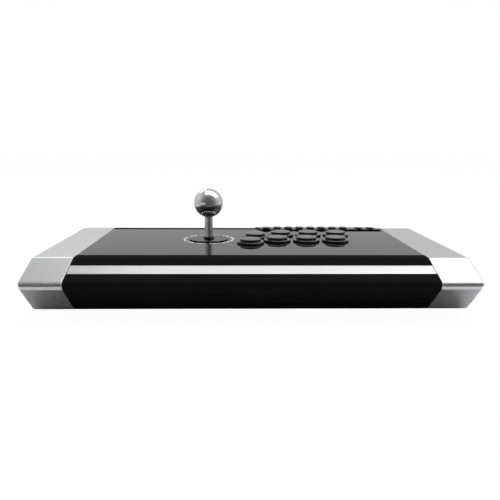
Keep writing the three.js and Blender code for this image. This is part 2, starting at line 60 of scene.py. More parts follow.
def end_outline(node):
    """The outline, as (y, z) points in order, of a CAD bar's flat end at its high X."""
    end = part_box(node)[1].x
    mesh = nodes[node].data
    loose = {}
    for polygon in mesh.polygons:
        corners = [mesh.vertices[i].co for i in polygon.vertices]
        if any(abs(c.x - end) > 0.01 * MM for c in corners):
            continue
        keys = [(round(c.y * 1e6), round(c.z * 1e6)) for c in corners]
        for a, b in zip(keys, keys[1:] + keys[:1]):
            if loose.get(b) and a in loose[b]:
                loose[b].remove(a)
            else:
                loose.setdefault(a, []).append(b)
    start = next(key for key in sorted(loose) if loose[key])
    chain = [start]
    while loose[chain[-1]]:
        following = loose[chain[-1]].pop()
        if following == start:
            break
        chain.append(following)
    return straightened([(y / 1e6, z / 1e6) for y, z in chain])


def straightened(points):
    """An outline without the points that lie on a straight side."""
    kept = []
    for i, point in enumerate(points):
        before, after = points[i - 1], points[(i + 1) % len(points)]
        into = (point[0] - before[0], point[1] - before[1])
        out = (after[0] - point[0], after[1] - point[1])
        turn = into[0] * out[1] - into[1] * out[0]
        if abs(turn) > 1e-4 * math.hypot(*into) * math.hypot(*out):
            kept.append(point)
    return kept


def rounded(points, radius, steps=6, closed=True):
    """A polyline with each corner turned into an arc; radius is a number, or a function of the corner."""
    result = []
    for i, point in enumerate(points):
        if not closed and i in (0, len(points) - 1):
            result.append(point)
            continue
        here = Vector(point)
        to_before = Vector(points[i - 1]) - here
        to_after = Vector(points[(i + 1) % len(points)]) - here
        bend = to_before.angle(to_after)
        wanted = radius(point) if callable(radius) else radius
        room = 0.48 * min(to_before.length, to_after.length)
        cut = min(wanted / max(math.tan(bend / 2), 1e-6), room)
        if cut < 1e-6:
            result.append(point)
            continue
        start, end = here + to_before.normalized() * cut, here + to_after.normalized() * cut
        actual = cut * math.tan(bend / 2)
        inwards = (to_before.normalized() + to_after.normalized()).normalized()
        centre = here + inwards * (actual / math.sin(bend / 2))
        first, last = start - centre, end - centre
        sweep = first.angle_signed(last)
        for step in range(steps + 1):
            turned = first.copy()
            turned.rotate(Matrix.Rotation(-sweep * step / steps, 2))
            result.append(tuple(centre + turned))
    return result


def cut_corners(points, size):
    """An outline with each corner cut off straight; size is a function of the corner."""
    result = []
    for i, point in enumerate(points):
        here, cut = Vector(point), size(point)
        if cut:
            before = Vector(points[i - 1]) - here
            after = Vector(points[(i + 1) % len(points)]) - here
            result += [tuple(here + before.normalized() * cut), tuple(here + after.normalized() * cut)]
        else:
            result.append(point)
    return result


def inset(points, distance):
    """A convex, anticlockwise outline with every side moved inwards."""
    moved = []
    for i, point in enumerate(points):
        here, before, after = Vector(point), Vector(points[i - 1]), Vector(points[(i + 1) % len(points)])
        into, out = (here - before).normalized(), (after - here).normalized()
        left = Vector((-into.y - out.y, into.x + out.x)).normalized()
        half_turn = into.angle(out, 0) / 2
        moved.append(tuple(here + left * (distance / math.cos(half_turn))))
    return moved


# ---- meshes -------------------------------------------------------------------------------------


def piece(name, mesh, material, body, replaced=(), smooth_angle=35):
    """A finished piece: its material, the body it rides on and the CAD nodes it stands for."""
    thing = bpy.data.objects.new(name, mesh)
    bpy.context.scene.collection.objects.link(thing)
    mesh.materials.clear()
    mesh.materials.append(material)
    mesh.shade_smooth()
    mesh.set_sharp_from_angle(angle=math.radians(smooth_angle))
    normals = thing.modifiers.new("Normals", "WEIGHTED_NORMAL")
    normals.keep_sharp = True
    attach(thing, body)
    if replaced:
        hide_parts(*replaced)


def mesh_from(name, build):
    """A mesh made by a function that fills a bmesh; its faces are turned to point outwards."""
    work = bmesh.new()
    build(work)
    bmesh.ops.remove_doubles(work, verts=work.verts, dist=1e-7)
    bmesh.ops.recalc_face_normals(work, faces=work.faces)
    mesh = bpy.data.meshes.new(name)
    work.to_mesh(mesh)
    work.free()
    return mesh


def loft(work, rings):
    """Quads between equal rings of points, with a face on each end."""
    made = [[work.verts.new(point) for point in ring] for ring in rings]
    for lower, upper in zip(made, made[1:]):
        for i in range(len(lower)):
            j = (i + 1) % len(lower)
            work.faces.new((lower[i], lower[j], upper[j], upper[i]))
    work.faces.new(made[0][::-1])
    work.faces.new(made[-1])


def bar_x(name, outline, low_x, high_x):
    """A (y, z) outline drawn out along X."""
    rings = [[(x, y, z) for y, z in outline] for x in (low_x, high_x)]
    return mesh_from(name, lambda work: loft(work, rings))


def rectangle(low, high):
    """A rectangle between two corners, as (x, y), anticlockwise from its low corner."""
    return [(low[0], low[1]), (high[0], low[1]), (high[0], high[1]), (low[0], high[1])]


def slab_z(name, outline, low_z, high_z):
    """An (x, y) outline drawn up along Z."""
    rings = [[(x, y, z) for x, y in outline] for z in (low_z, high_z)]
    return mesh_from(name, lambda work: loft(work, rings))


def turned(name, profile, centre, segments=96):
    """A profile of (radius, z) points, turned about a vertical line through centre."""

    def build(work):
        steps = [2 * math.pi * i / segments for i in range(segments)]
        rings = []
        for radius, z in profile:
            if radius < 1e-7:
                rings.append([work.verts.new((centre[0], centre[1], z))])
                continue
            ring = [(centre[0] + radius * math.cos(a), centre[1] + radius * math.sin(a), z) for a in steps]
            rings.append([work.verts.new(point) for point in ring])
        for lower, upper in zip(rings, rings[1:]):
            for i in range(segments):
                j = (i + 1) % segments
                around = ((lower, i), (lower, j), (upper, j), (upper, i))
                distinct = list(dict.fromkeys(ring[k % len(ring)] for ring, k in around))
                if len(distinct) > 2:
                    work.faces.new(distinct)

    return mesh_from(name, build)


def bevelled(mesh, width, angle=40):
    """The mesh with its sharp edges rounded, as a new mesh."""
    holder = bpy.data.objects.new("bevel_work", mesh)
    bpy.context.scene.collection.objects.link(holder)
    modifier = holder.modifiers.new("Bevel", "BEVEL")
    modifier.width = width
    modifier.segments = 2
    modifier.limit_method = "ANGLE"
    modifier.angle_limit = math.radians(angle)
    modifier.use_clamp_overlap = True
    return baked(holder, mesh.name)


def carved(mesh, cutters):
    """The mesh less each cutter mesh, as a new mesh."""
    holder = bpy.data.objects.new("carve_work", mesh)
    bpy.context.scene.collection.objects.link(holder)
    tools = []
    for cutter in cutters:
        tool = bpy.data.objects.new("cutter", cutter)
        bpy.context.scene.collection.objects.link(tool)
        modifier = holder.modifiers.new("Carve", "BOOLEAN")
        modifier.operation = "DIFFERENCE"
        modifier.solver = "EXACT"
        modifier.object = tool
        tools.append(tool)
    result = baked(holder, mesh.name)
    for tool in tools:
        bpy.data.objects.remove(tool)
    return result


def baked(holder, name):
    """The mesh of an object after its modifiers; the object is removed."""
    bpy.context.view_layer.update()
    evaluated = holder.evaluated_get(bpy.context.evaluated_depsgraph_get())
    result = bpy.data.meshes.new_from_object(evaluated)
    bpy.data.objects.remove(holder)
    result.name = name
    return result


def centre_of(node):
    """The middle of a CAD node's box."""
    low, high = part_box(node)
    return (low + high) / 2


def disc_cutter(place, radius, low_z, high_z, segments=64):
    """An upright cylinder that cuts a round hole."""
    return turned("cut", [(0, low_z), (radius, low_z), (radius, high_z), (0, high_z)], place, segments)


# ---- materials ----------------------------------------------------------------------------------


def node_material(name):
    """A new material with its nodes and its links."""
    material = bpy.data.materials.new(name)
    material.use_nodes = True
    return material, material.node_tree.nodes, material.node_tree.links


def noise(tree_nodes, links, scale, detail, stretch=None):
    """Noise in object space; stretch scales it along each axis, as for a brushed grain."""
    place = tree_nodes.new("ShaderNodeTexCoord")
    texture = tree_nodes.new("ShaderNodeTexNoise")
    texture.inputs["Scale"].default_value = scale
    texture.inputs["Detail"].default_value = detail
    if stretch is None:
        links.new(place.outputs["Object"], texture.inputs["Vector"])
        return texture
    mapping = tree_nodes.new("ShaderNodeMapping")
    mapping.inputs["Scale"].default_value = stretch
    links.new(place.outputs["Object"], mapping.inputs["Vector"])
    links.new(mapping.outputs["Vector"], texture.inputs["Vector"])
    return texture


def spread(tree_nodes, links, source, low, high):
    """A noise's value, most of which lies between 0.3 and 0.7, mapped to another range."""
    mapped = tree_nodes.new("ShaderNodeMapRange")
    mapped.inputs["From Min"].default_value = 0.3
    mapped.inputs["From Max"].default_value = 0.7
    mapped.inputs["To Min"].default_value = low
    mapped.inputs["To Max"].default_value = high
    links.new(source.outputs["Fac"], mapped.inputs["Value"])
    return mapped.outputs["Result"]


def finish(name, dark, light, rough, grain, grain_depth, cloud=25, stretch=None, **sockets):
    """A material with a cloudy colour, an uneven gloss and a fine grain.

    rough is (lowest, highest); grain and cloud are the scales of the fine and of the coarse unevenness,
    grain_depth is in millimetres, and sockets are values for the shader's own sockets.
    """
    material, tree_nodes, links = node_material(name)
    shader = tree_nodes["Principled BSDF"]
    for key, value in sockets.items():
        shader.inputs[key.replace("_", " ")].default_value = value
    clouds = noise(tree_nodes, links, cloud, 3.0)
    colours = tree_nodes.new("ShaderNodeMix")
    colours.data_type = "RGBA"
    colours.inputs["A"].default_value = (*dark, 1)
    colours.inputs["B"].default_value = (*light, 1)
    links.new(spread(tree_nodes, links, clouds, 0, 1), colours.inputs["Factor"])
    links.new(colours.outputs["Result"], shader.inputs["Base Color"])
    fine = noise(tree_nodes, links, grain, 4.0, stretch)
    links.new(spread(tree_nodes, links, fine, *rough), shader.inputs["Roughness"])
    bump = tree_nodes.new("ShaderNodeBump")
    bump.inputs["Strength"].default_value = 0.5
    bump.inputs["Distance"].default_value = grain_depth * MM
    links.new(fine.outputs["Fac"], bump.inputs["Height"])
    links.new(bump.outputs["Normal"], shader.inputs["Normal"])
    return material


def grey(value):
    """A grey that is a touch blue, as (red, green, blue)."""
    return (value, value, value * 1.01)


def plain(name, dark, light, rough, grain, grain_depth, **more):
    """A grey finish, from a dark level to a light one."""
    return finish(name, grey(dark), grey(light), rough, grain, grain_depth, **more)


def metal(*looks, tint=1.0, **more):
    """A grey metal; tint is how bright its edges are."""
    return plain(*looks, Metallic=1.0, Specular_Tint=(tint, tint, tint, 1), **more)


SILVER = metal("satin_silver", 0.69, 0.72, (0.24, 0.29), 1500, 0.004)
CHROME = metal("chrome", 0.80, 0.83, (0.02, 0.04), 700, 0.0005, tint=0.6)
SHAFT = metal("shaft_steel", 0.84, 0.90, (0.26, 0.32), 900, 0.004, tint=0.25)
STEEL = metal("sheet_steel", 0.42, 0.48, (0.28, 0.42), 300, 0.01, stretch=(1, 12, 12))
STRIP = plain("frosted_strip", 0.58, 0.60, (0.36, 0.40), 1200, 0.001, Metallic=0.7)
PANEL_GLOSS = plain("gloss_acrylic", 0.004, 0.006, (0.015, 0.03), 300, 0.0001, IOR=1.46)
PLATE_GLOSS = plain("gloss_plate", 0.006, 0.009, (0.03, 0.05), 500, 0.0005, IOR=1.35)
BLACK = plain("moulded_black", 0.012, 0.0145, (0.42, 0.5), 1400, 0.004, IOR=1.012)
BUTTON = plain("button_black", 0.018, 0.024, (0.03, 0.05), 900, 0.0005, IOR=1.6)
WASHER = plain("washer_black", 0.004, 0.006, (0.03, 0.06), 900, 0.0005, IOR=1.28)
RUBBER = plain("rubber", 0.018, 0.026, (0.75, 0.9), 1600, 0.03)
NYLON = plain("nylon", 0.022, 0.032, (0.42, 0.55), 1100, 0.01)
INK = plain("printed_ring", 0.84, 0.92, (0.30, 0.40), 1500, 0.002)
BOARD = finish("solder_mask", (0.008, 0.07, 0.025), (0.02, 0.14, 0.05), (0.3, 0.45), 500, 0.02, cloud=180)

SLOT_MATERIALS = {
    "silver": SILVER,
    "gloss_black": PANEL_GLOSS,
    "black_plastic": BLACK,
    "button_black": BUTTON,
    "light_strip": STRIP,
    "steel": STEEL,
    "chrome": CHROME,
    "rubber": RUBBER,
    "circuit_board": BOARD,
    "nylon": NYLON,
}
# The CAD meshes that no piece stands for are seen themselves, in the same looks.
for part in frame["record"]["subparts"]:
    mesh = nodes[part["node"]].data
    mesh.materials.clear()
    mesh.materials.append(SLOT_MATERIALS[part["material_slot"]])


# ---- the case -----------------------------------------------------------------------------------

case_outline = end_outline("right_side_panel")
CLOSE = 0.1 * MM  # points nearer than this count as one
TOP_Z = max(z for _, z in case_outline)
RIDGE_Y = max(y for y, z in case_outline if z > TOP_Z - CLOSE)
NOSE_Y = RIDGE_Y + 30 * MM  # the noses are further out than this
BROW_Z = max(z for y, z in case_outline if y > NOSE_Y)


def is_ridge(point):
    """Whether an outline's corner is one of the two where the top face meets a slope."""
    return point[1] > TOP_Z - CLOSE and abs(abs(point[0]) - RIDGE_Y) < CLOSE


def is_brow(point):
    """Whether an outline's corner is one of the two where a slope ends above its nose."""
    return abs(point[0]) > NOSE_Y and point[1] > BROW_Z - CLOSE


def end_panel(side, name, node):
    """A silver end panel: flat bevels along its ridges and round both of its ends, and round brows."""
    low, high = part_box(node)
    seam, outer = (high.x, low.x) if side < 0 else (low.x, high.x)
    ridge_cut, brow_radius = 0.8 * MM, 4 * MM
    seam_bevel, outer_bevel, outer_drop = 0.4 * MM, 1.6 * MM, 0.5 * MM
    outline = cut_corners(case_outline, lambda point: ridge_cut if is_ridge(point) else 0)
    outline = rounded(outline, lambda point: brow_radius if is_brow(point) else 0)
    sections = [
        (seam, seam_bevel),
        (seam + side * seam_bevel, 0),
        (outer - side * outer_bevel, 0),
        (outer, outer_drop),
    ]
    rings = [[(x, y, z) for y, z in inset(outline, depth)] for x, depth in sections]
    mesh = mesh_from(name, lambda work: loft(work, rings))
    mesh = bevelled(mesh, 0.12 * MM, 9)
    piece(name, mesh, SILVER, "root", [node], smooth_angle=9)


end_panel(-1, "left_end_panel", "left_side_panel")
end_panel(1, "right_end_panel", "right_side_panel")


def bezel_radius(point):
    """How round the black shell's corners are: most where the front slope begins, less at the nose."""
    front_ridge, rear_ridge, nose, elsewhere = 8 * MM, 2.5 * MM, 0.8 * MM, 0.2 * MM
    if is_ridge(point):
        return front_ridge if point[0] < 0 else rear_ridge
    return nose if abs(point[0]) > NOSE_Y else elsewhere


def bezel(name, node, cutters=()):
    """One half of the black shell."""
    low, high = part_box(node)
    mesh = bar_x(name, rounded(end_outline(node), bezel_radius), low.x, high.x)
    if cutters:
        mesh = carved(mesh, cutters)
    mesh = bevelled(mesh, 0.15 * MM, 50)
    piece(name, mesh, BLACK, "root", [node], smooth_angle=30)


bezel("front_shell", "front_bezel")

plate_low, plate_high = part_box("option_plate")


def plate_corners():
    """The plate's corners as (x, y), anticlockwise from the front left."""
    flat = {(round(v.co.x, 6), round(v.co.y, 6)) for v in nodes["option_plate"].data.vertices}
    front = sorted(p for p in flat if p[1] < plate_low.y + CLOSE)
    back = sorted(p for p in flat if p[1] > plate_high.y - CLOSE)
    return [front[0], front[-1], back[-1], back[0]]


PLATE = plate_corners()
# How far the plate's corners shift to the left over its depth.
PLATE_LEAN = (PLATE[0][0] - PLATE[3][0]) / (PLATE[3][1] - PLATE[0][1])
PLATE_LIP = 1.2 * MM  # what rests on the cover and the shell round the cut-out
CUT_BELOW, CUT_ABOVE = 13 * MM, 4 * MM
plate_cut = slab_z("plate_cut", inset(PLATE, PLATE_LIP), TOP_Z - CUT_BELOW, TOP_Z + CUT_ABOVE)


def slope_axes():
    """The rear slope's top, and its downhill and outward directions, as (y, z)."""
    top = max((p for p in case_outline if is_ridge(p)), key=lambda p: p[0])
    following = [p for p in case_outline if p[0] > top[0] and p[1] < top[1]]
    shoulder = max(following, key=lambda p: p[1])
    down = (Vector(shoulder) - Vector(top)).normalized()
    return Vector(top), down, Vector((-down.y, down.x))


slope_top, slope_down, slope_out = slope_axes()


def on_slope(down, out):
    """A point on the rear slope in millimetres from the ridge and from the surface, as (y, z)."""
    return tuple(slope_top + slope_down * (down * MM) + slope_out * (out * MM))


# The hatch: where it starts down the rear slope and its sizes, in millimetres, and its ends without the pins.
HATCH = {"start": 5, "length": 32, "thick": 2.4, "barrel": 2, "gap": 0.3, "clear": 0.6}
HATCH_LEFT = -141 * MM
HATCH_RIGHT = -29 * MM


def hatch_opening():
    """What cuts the hatch's opening into the rear shell."""
    start, end = HATCH["start"] - HATCH["clear"], HATCH["start"] + HATCH["length"] + HATCH["gap"]
    above, below = 2, -8
    corners = [on_slope(start, above), on_slope(start, below), on_slope(end, below), on_slope(end, above)]
    gap = HATCH["gap"] * MM
    return bar_x("hatch_cut", corners, HATCH_LEFT - gap, HATCH_RIGHT + gap)


bezel("rear_shell", "rear_bezel", [hatch_opening(), plate_cut])


def hatch_flap():
    """The hatch: a flap with a round barrel along its upper edge and a finger scoop in its lower one."""
    barrel = HATCH["barrel"]
    axis_down, axis_out = HATCH["start"] + barrel, -barrel
    end = HATCH["start"] + HATCH["length"]
    fillet_start, fillet_end, fillet_deep = 1.6, 3.4, 1.0
    angles = [math.radians(90 + 15 * step) for step in range(13)]
    arc = [on_slope(axis_down + barrel * math.cos(a), axis_out + barrel * math.sin(a)) for a in angles]
    lower = [
        on_slope(axis_down + fillet_start, -HATCH["thick"] - fillet_deep),
        on_slope(axis_down + fillet_end, -HATCH["thick"]),
        on_slope(end, -HATCH["thick"]),
        on_slope(end, 0),
    ]
    mesh = bar_x("cable_hatch_flap", arc + lower, HATCH_LEFT, HATCH_RIGHT)
    scoop_radius, scoop_down, scoop_out = 11 * MM, end + 3, 7
    scoop = turned("scoop", scoop_profile(scoop_radius), (0, 0), 48)
    scoop.transform(Matrix.Translation(((HATCH_LEFT + HATCH_RIGHT) / 2, *on_slope(scoop_down, scoop_out))))
    mesh = bevelled(carved(mesh, [scoop]), 0.3 * MM)
    piece("cable_hatch_flap", mesh, BLACK, "hatch", ["cable_hatch"], smooth_angle=30)


def scoop_profile(radius):
    """A half circle of (radius, z) points about the origin, from the lower pole to the upper one."""
    steps = [math.radians(-90 + 10 * i) for i in range(19)]
    return [(radius * math.cos(a) if abs(math.cos(a)) > 1e-6 else 0, radius * math.sin(a)) for a in steps]


hatch_flap()


def light_strip():
    """The pale strip: a flat bar with a narrow upper bevel and a wide lower one."""
    low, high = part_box("light_strip")
    outline = end_outline("light_strip")
    upper = Vector(max(outline, key=lambda p: p[1]))
    lower = Vector(min(outline, key=lambda p: p[0]))
    # The front slope is the rear one mirrored.
    top, down, out = (Vector((-v.x, v.y)) for v in (slope_top, slope_down, slope_out))
    origin = upper - out * (upper - top).dot(out)
    width = (lower - upper).dot(down) / MM
    edge, face, root = 0.1, 0.4, -2  # millimetres out from the slope
    upper_bevel, lower_bevel, end_gap = 0.5, 2.2, 0.7
    level = [(0, edge), (upper_bevel, face), (width - lower_bevel, face), (width, edge)]
    level += [(width, root), (0, root)]
    points = [tuple(origin + down * (d * MM) + out * (o * MM)) for d, o in level]
    bar = bar_x("strip_bar", points[::-1], low.x + end_gap * MM, high.x - end_gap * MM)
    mesh = bevelled(bar, 0.1 * MM, 12)
    piece("strip_bar", mesh, STRIP, "root", ["light_strip"], smooth_angle=12)


light_strip()


# ---- top panel ----------------------------------------------------------------------------------

BUTTONS = [centre_of(f"button_{i}_rim") for i in range(1, 9)]
LEVER = centre_of("dust_washer")


def panel_cover():
    """The gloss cover, with round holes for the buttons and the lever and one for the option plate."""
    low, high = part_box("panel_cover")
    button_hole, lever_hole = 15.2 * MM, 12 * MM
    mesh = bevelled(slab_z("gloss_cover", rectangle(low, high), low.z, high.z), 0.2 * MM)
    holes = [disc_cutter(place, button_hole, low.z - MM, high.z + MM) for place in BUTTONS]
    holes.append(disc_cutter(LEVER, lever_hole, low.z - MM, high.z + MM))
    holes.append(plate_cut.copy())
    piece("gloss_cover", carved(mesh, holes), PANEL_GLOSS, "root", ["panel_cover"], 25)


panel_cover()


def printed_ring():
    """The ring printed round the lever: pale arcs with gaps, as thin as ink."""
    mean, half_wide, thick, lift = 30.1 * MM, 1.4 * MM, 0.06 * MM, 0.01 * MM
    arcs, fill, steps = 12, 0.8, 16

    def build(work):
        for arc in range(arcs):
            middle = 2 * math.pi * (arc + 0.5) / arcs
            half = math.pi / arcs * fill
            angles = [middle - half + 2 * half * i / steps for i in range(steps + 1)]
            rings = []
            for angle in angles:
                along = Vector((math.cos(angle), math.sin(angle)))
                corners = [(mean - half_wide, lift), (mean + half_wide, lift)]
                corners += [(mean + half_wide, lift + thick), (mean - half_wide, lift + thick)]
                rings.append([(LEVER.x + along.x * r, LEVER.y + along.y * r, TOP_Z + z) for r, z in corners])
            loft(work, rings)

    piece("printed_ring", mesh_from("printed_ring", build), INK, "root")


printed_ring()


# ---- play buttons -------------------------------------------------------------------------------


def button_rim(name, place, node):
    """The rim: a round outer edge, a narrow level crown and a neck that the plunger slides in."""
    low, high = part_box(node)
    outer, barrel, neck = (high.x - low.x) / 2, 14.9 * MM, 12.7 * MM
    crown, neck_depth = TOP_Z + 2.65 * MM, 8 * MM
    profile = [
        (0, crown - neck_depth),
        (neck, crown - neck_depth),
        (neck, crown - 0.5 * MM),
        (neck + 0.5 * MM, crown),
        (outer - 0.7 * MM, crown),
        (outer, crown - 0.6 * MM),
        (outer, TOP_Z + 0.6 * MM),
        (outer - 0.5 * MM, TOP_Z + 0.1 * MM),
        (barrel, TOP_Z + 0.1 * MM),
        (barrel, low.z),
        (0, low.z),
    ]
    smooth = rounded(profile, 0.25 * MM, 5, closed=False)
    piece(name, turned(name, smooth, place), BUTTON, "root", [node])


def button_plunger(name, place, node, body):
    """The plunger: a slightly domed cap with a soft edge."""
    low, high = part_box(node)
    radius, dome, steps = 12.4 * MM, 0.2 * MM, 6
    profile = [(radius * i / steps, high.z - dome * (i / steps) ** 2) for i in range(steps + 1)]
    profile += [(radius, low.z), (0, low.z)]
    smooth = rounded(profile, 0.25 * MM, 5, closed=False)
    piece(name, turned(name, smooth, place), BUTTON, body, [node])


for number, place in enumerate(BUTTONS, 1):
    button_rim(f"play_rim_{number}", place, f"button_{number}_rim")
    button_plunger(f"play_cap_{number}", place, f"button_{number}_plunger", f"button_{number}")


# ---- option plate -------------------------------------------------------------------------------

OPTION_NODES = ["home_button"] + [f"option_button_{i}" for i in range(1, 8)]
SLIDES = [f"slide_switch_{i}" for i in (1, 2)]


def slanted(place, half_x, half_y):
    """A parallelogram that leans as the plate does, as (x, y)."""
    shift = half_y * PLATE_LEAN
    front = [(-half_x + shift, -half_y), (half_x + shift, -half_y)]
    back = [(half_x - shift, half_y), (-half_x - shift, half_y)]
    return [(place.x + x, place.y + y) for x, y in front + back]


def plate_holes():
    """What cuts the plate's round holes and its two slanted slots."""
    low_z, high_z = plate_low.z - MM, plate_high.z + MM
    hole_radius, slot_half_x, slot_half_y = 5.5 * MM, 3.2 * MM, 7 * MM
    holes = [disc_cutter(centre_of(node), hole_radius, low_z, high_z, 48) for node in OPTION_NODES]
    for node in SLIDES:
        holes.append(slab_z("slot", slanted(centre_of(node), slot_half_x, slot_half_y), low_z, high_z))
    return holes


def option_plate():
    """A thin gloss plate, and under it the black body that drops through the cover."""
    gloss_thick, body_drop, body_inset = 0.7 * MM, 0.72 * MM, 1.5 * MM
    gloss = slab_z("option_top_plate", PLATE, plate_high.z - gloss_thick, plate_high.z)
    gloss = carved(bevelled(gloss, 0.25 * MM), plate_holes())
    piece("option_top_plate", gloss, PLATE_GLOSS, "root", ["option_plate"], 30)
    body = slab_z("option_plate_body", inset(PLATE, body_inset), plate_low.z, plate_high.z - body_drop)
    piece("option_plate_body", carved(body, plate_holes()), BLACK, "root", (), 30)


option_plate()


def option_cap(node, body):
    """An option button's cap: small and round, with a sloped edge."""
    low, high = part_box(node)
    radius = 5.2 * MM
    profile = [(0, high.z), (radius - 0.5 * MM, high.z), (radius, high.z - 0.3 * MM)]
    profile += [(radius, low.z), (0, low.z)]
    smooth = rounded(profile, 0.4 * MM, 5, closed=False)
    piece(f"{node}_cap", turned(node, smooth, centre_of(node), 64), BUTTON, body, [node])


option_cap("home_button", "home")
for number in range(1, 8):
    option_cap(f"option_button_{number}", f"option_{number}")


def slide_knob(node, body):
    """A slide switch's knob: a slanted block with three grip ridges across it."""
    low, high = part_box(node)
    place = centre_of(node)
    block_half_x, block_half_y, block_drop = 2.85 * MM, 3.6 * MM, 0.5 * MM
    ridge_half_x, ridge_half_y, ridge_pitch, ridge_tall = 2.6 * MM, 0.55 * MM, 2.2 * MM, 0.6 * MM
    block = slab_z(node, slanted(place, block_half_x, block_half_y), low.z, high.z - block_drop)
    work = bmesh.new()
    work.from_mesh(block)
    for step in (-1, 0, 1):
        back = step * ridge_pitch
        centre = Vector((place.x - back * PLATE_LEAN, place.y + back, 0))
        outline = slanted(centre, ridge_half_x, ridge_half_y)
        loft(work, [[(x, y, z) for x, y in outline] for z in (high.z - ridge_tall, high.z)])
    work.to_mesh(block)
    work.free()
    piece(f"{node}_knob", bevelled(block, 0.15 * MM), BUTTON, body, [node])


for number in (1, 2):
    slide_knob(f"slide_switch_{number}", f"slide_{number}")


# ---- lever --------------------------------------------------------------------------------------


def ball_top():
    """The ball: a sphere with a shallow hole for the shaft."""
    low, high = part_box("ball_knob")
    radius = (high.x - low.x) / 2
    middle = high.z - radius
    hole, hole_top, steps = 5.15 * MM, middle - 0.8 * radius, 64
    start = -math.acos(hole / radius)
    angles = [start + (math.pi / 2 - start) * i / steps for i in range(steps)]
    profile = [(0, hole_top), (hole, hole_top)]
    profile += [(radius * math.cos(a), middle + radius * math.sin(a)) for a in angles]
    profile.append((0, high.z))
    mesh = turned("ball_top", profile, LEVER, 128)
    piece("ball_top", mesh, CHROME, "lever", ["ball_knob"], 40)


ball_top()


def lever_shaft():
    """The shaft: a thin core below the pivot ball and the full width above it."""
    low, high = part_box("lever_shaft")
    radius, core = (high.x - low.x) / 2, 3.95 * MM
    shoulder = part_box("pivot_ball")[1].z + 0.3 * MM
    profile = [(0, low.z), (core, low.z), (core, shoulder), (radius, shoulder), (radius, high.z), (0, high.z)]
    smooth = rounded(profile, 0.4 * MM, 4, closed=False)
    piece("shaft", turned("shaft", smooth, LEVER, 96), SHAFT, "lever", ["lever_shaft"])


lever_shaft()


def dust_washer():
    """The dust washer: a thin disc with a low hub round the shaft."""
    low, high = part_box("dust_washer")
    outer, hub, bore = (high.x - low.x) / 2, 6.45 * MM, 5.6 * MM
    flat = low.z + 0.9 * MM
    profile = [(bore, low.z), (outer - 0.3 * MM, low.z), (outer, low.z + 0.3 * MM), (outer - 0.35 * MM, flat)]
    profile += [(hub + 0.9 * MM, flat), (hub, flat + 0.7 * MM), (hub, high.z), (bore, high.z), (bore, low.z)]
    smooth = rounded(profile, 0.3 * MM, 4, closed=False)
    mesh = turned("washer_disc", smooth, LEVER, 128)
    piece("washer_disc", mesh, WASHER, "washer", ["dust_washer"])


dust_washer()


# ---- underside ----------------------------------------------------------------------------------


def rubber_foot(name, node):
    """A round rubber foot with a groove in its underside."""
    low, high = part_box(node)
    radius, groove_z = (high.x - low.x) / 2, low.z + 0.5 * MM
    profile = [
        (0, high.z),
        (radius - 0.4 * MM, high.z),
        (radius, high.z - 0.8 * MM),
        (radius - 0.7 * MM, low.z),
        (radius - 3 * MM, low.z),
        (radius - 3.6 * MM, groove_z),
        (radius - 5 * MM, groove_z),
        (radius - 5.6 * MM, low.z),
        (0, low.z),
    ]
    smooth = rounded(profile, 0.35 * MM, 4, closed=False)
    piece(name, turned(name, smooth, centre_of(node), 64), RUBBER, "root", [node])


for end in ("front", "rear"):
    for hand in ("left", "right"):
        rubber_foot(f"foot_{end}_{hand}", f"{end}_{hand}_foot")


def screw(name, place):
    """A flat-topped cross-head screw on the underside, its head down."""
    radius, head, top = 3.2 * MM, 0.9 * MM, place.z
    face = top - head
    profile = [(0, top), (radius, top), (radius, top - 0.4 * MM), (radius - 0.9 * MM, face), (0, face)]
    mesh = turned(name, rounded(profile, 0.3 * MM, 4, closed=False), place, 40)
    arm, half = radius * 0.62, 0.42 * MM
    slots = []
    for along, across in ((arm, half), (half, arm)):
        reach = Vector((along, across, 0))
        outline = rectangle(place - reach, place + reach)
        slots.append(slab_z("slot", outline, top - 2 * head, top - 0.35 * head))
    piece(name, carved(mesh, slots), STEEL, "root")


def base_plate():
    """The base plate: a sheet with four long pressed ribs, held by screws along its edges."""
    low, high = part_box("base_plate")
    corner, rib_half_x, rib_half_y, rib_depth = 3 * MM, 110 * MM, 3 * MM, 0.5 * MM
    mesh = slab_z("base_sheet", rounded(rectangle(low, high), corner, 5), low.z, high.z)
    ribs = []
    for y in (-45 * MM, -15 * MM, 15 * MM, 45 * MM):
        shape = rectangle((-rib_half_x, y - rib_half_y), (rib_half_x, y + rib_half_y))
        ribs.append(slab_z("rib", rounded(shape, rib_half_y * 0.95), low.z - MM, low.z + rib_depth))
    mesh = bevelled(carved(mesh, ribs), 0.2 * MM)
    piece("base_sheet", mesh, STEEL, "root", ["base_plate"], 30)
    margin = 8 * MM
    for number, x in enumerate((-170 * MM, -60 * MM, 60 * MM, 170 * MM), 1):
        for end, y in (("front", low.y + margin), ("rear", high.y - margin)):
            screw(f"base_screw_{end}_{number}", Vector((x, y, low.z)))


base_plate()


# ---- camera, light and floor --------------------------------------------------------------------

# The camera's place in millimetres, its turns in degrees and its lens.
CAMERA_PLACE = Vector((-18.0, -637.3, 175.9)) * MM
CAMERA_PITCH, CAMERA_YAW, CAMERA_ROLL = 11.61, 1.61, 0.37
CAMERA_LENS = 37.8


def add_camera():
    """The camera in front of the case, looking a little down."""
    camera = bpy.data.objects.new("camera", bpy.data.cameras.new("camera"))
    bpy.context.scene.collection.objects.link(camera)
    camera.data.lens = CAMERA_LENS
    camera.data.clip_start = 0.01
    camera.location = CAMERA_PLACE
    pitch = Matrix.Rotation(math.radians(90 - CAMERA_PITCH), 4, "X")
    yaw = Matrix.Rotation(math.radians(-CAMERA_YAW), 4, "Z")
    roll = Matrix.Rotation(math.radians(CAMERA_ROLL), 4, "Z")
    camera.rotation_euler = (yaw @ pitch @ roll).to_euler()
    bpy.context.scene.camera = camera


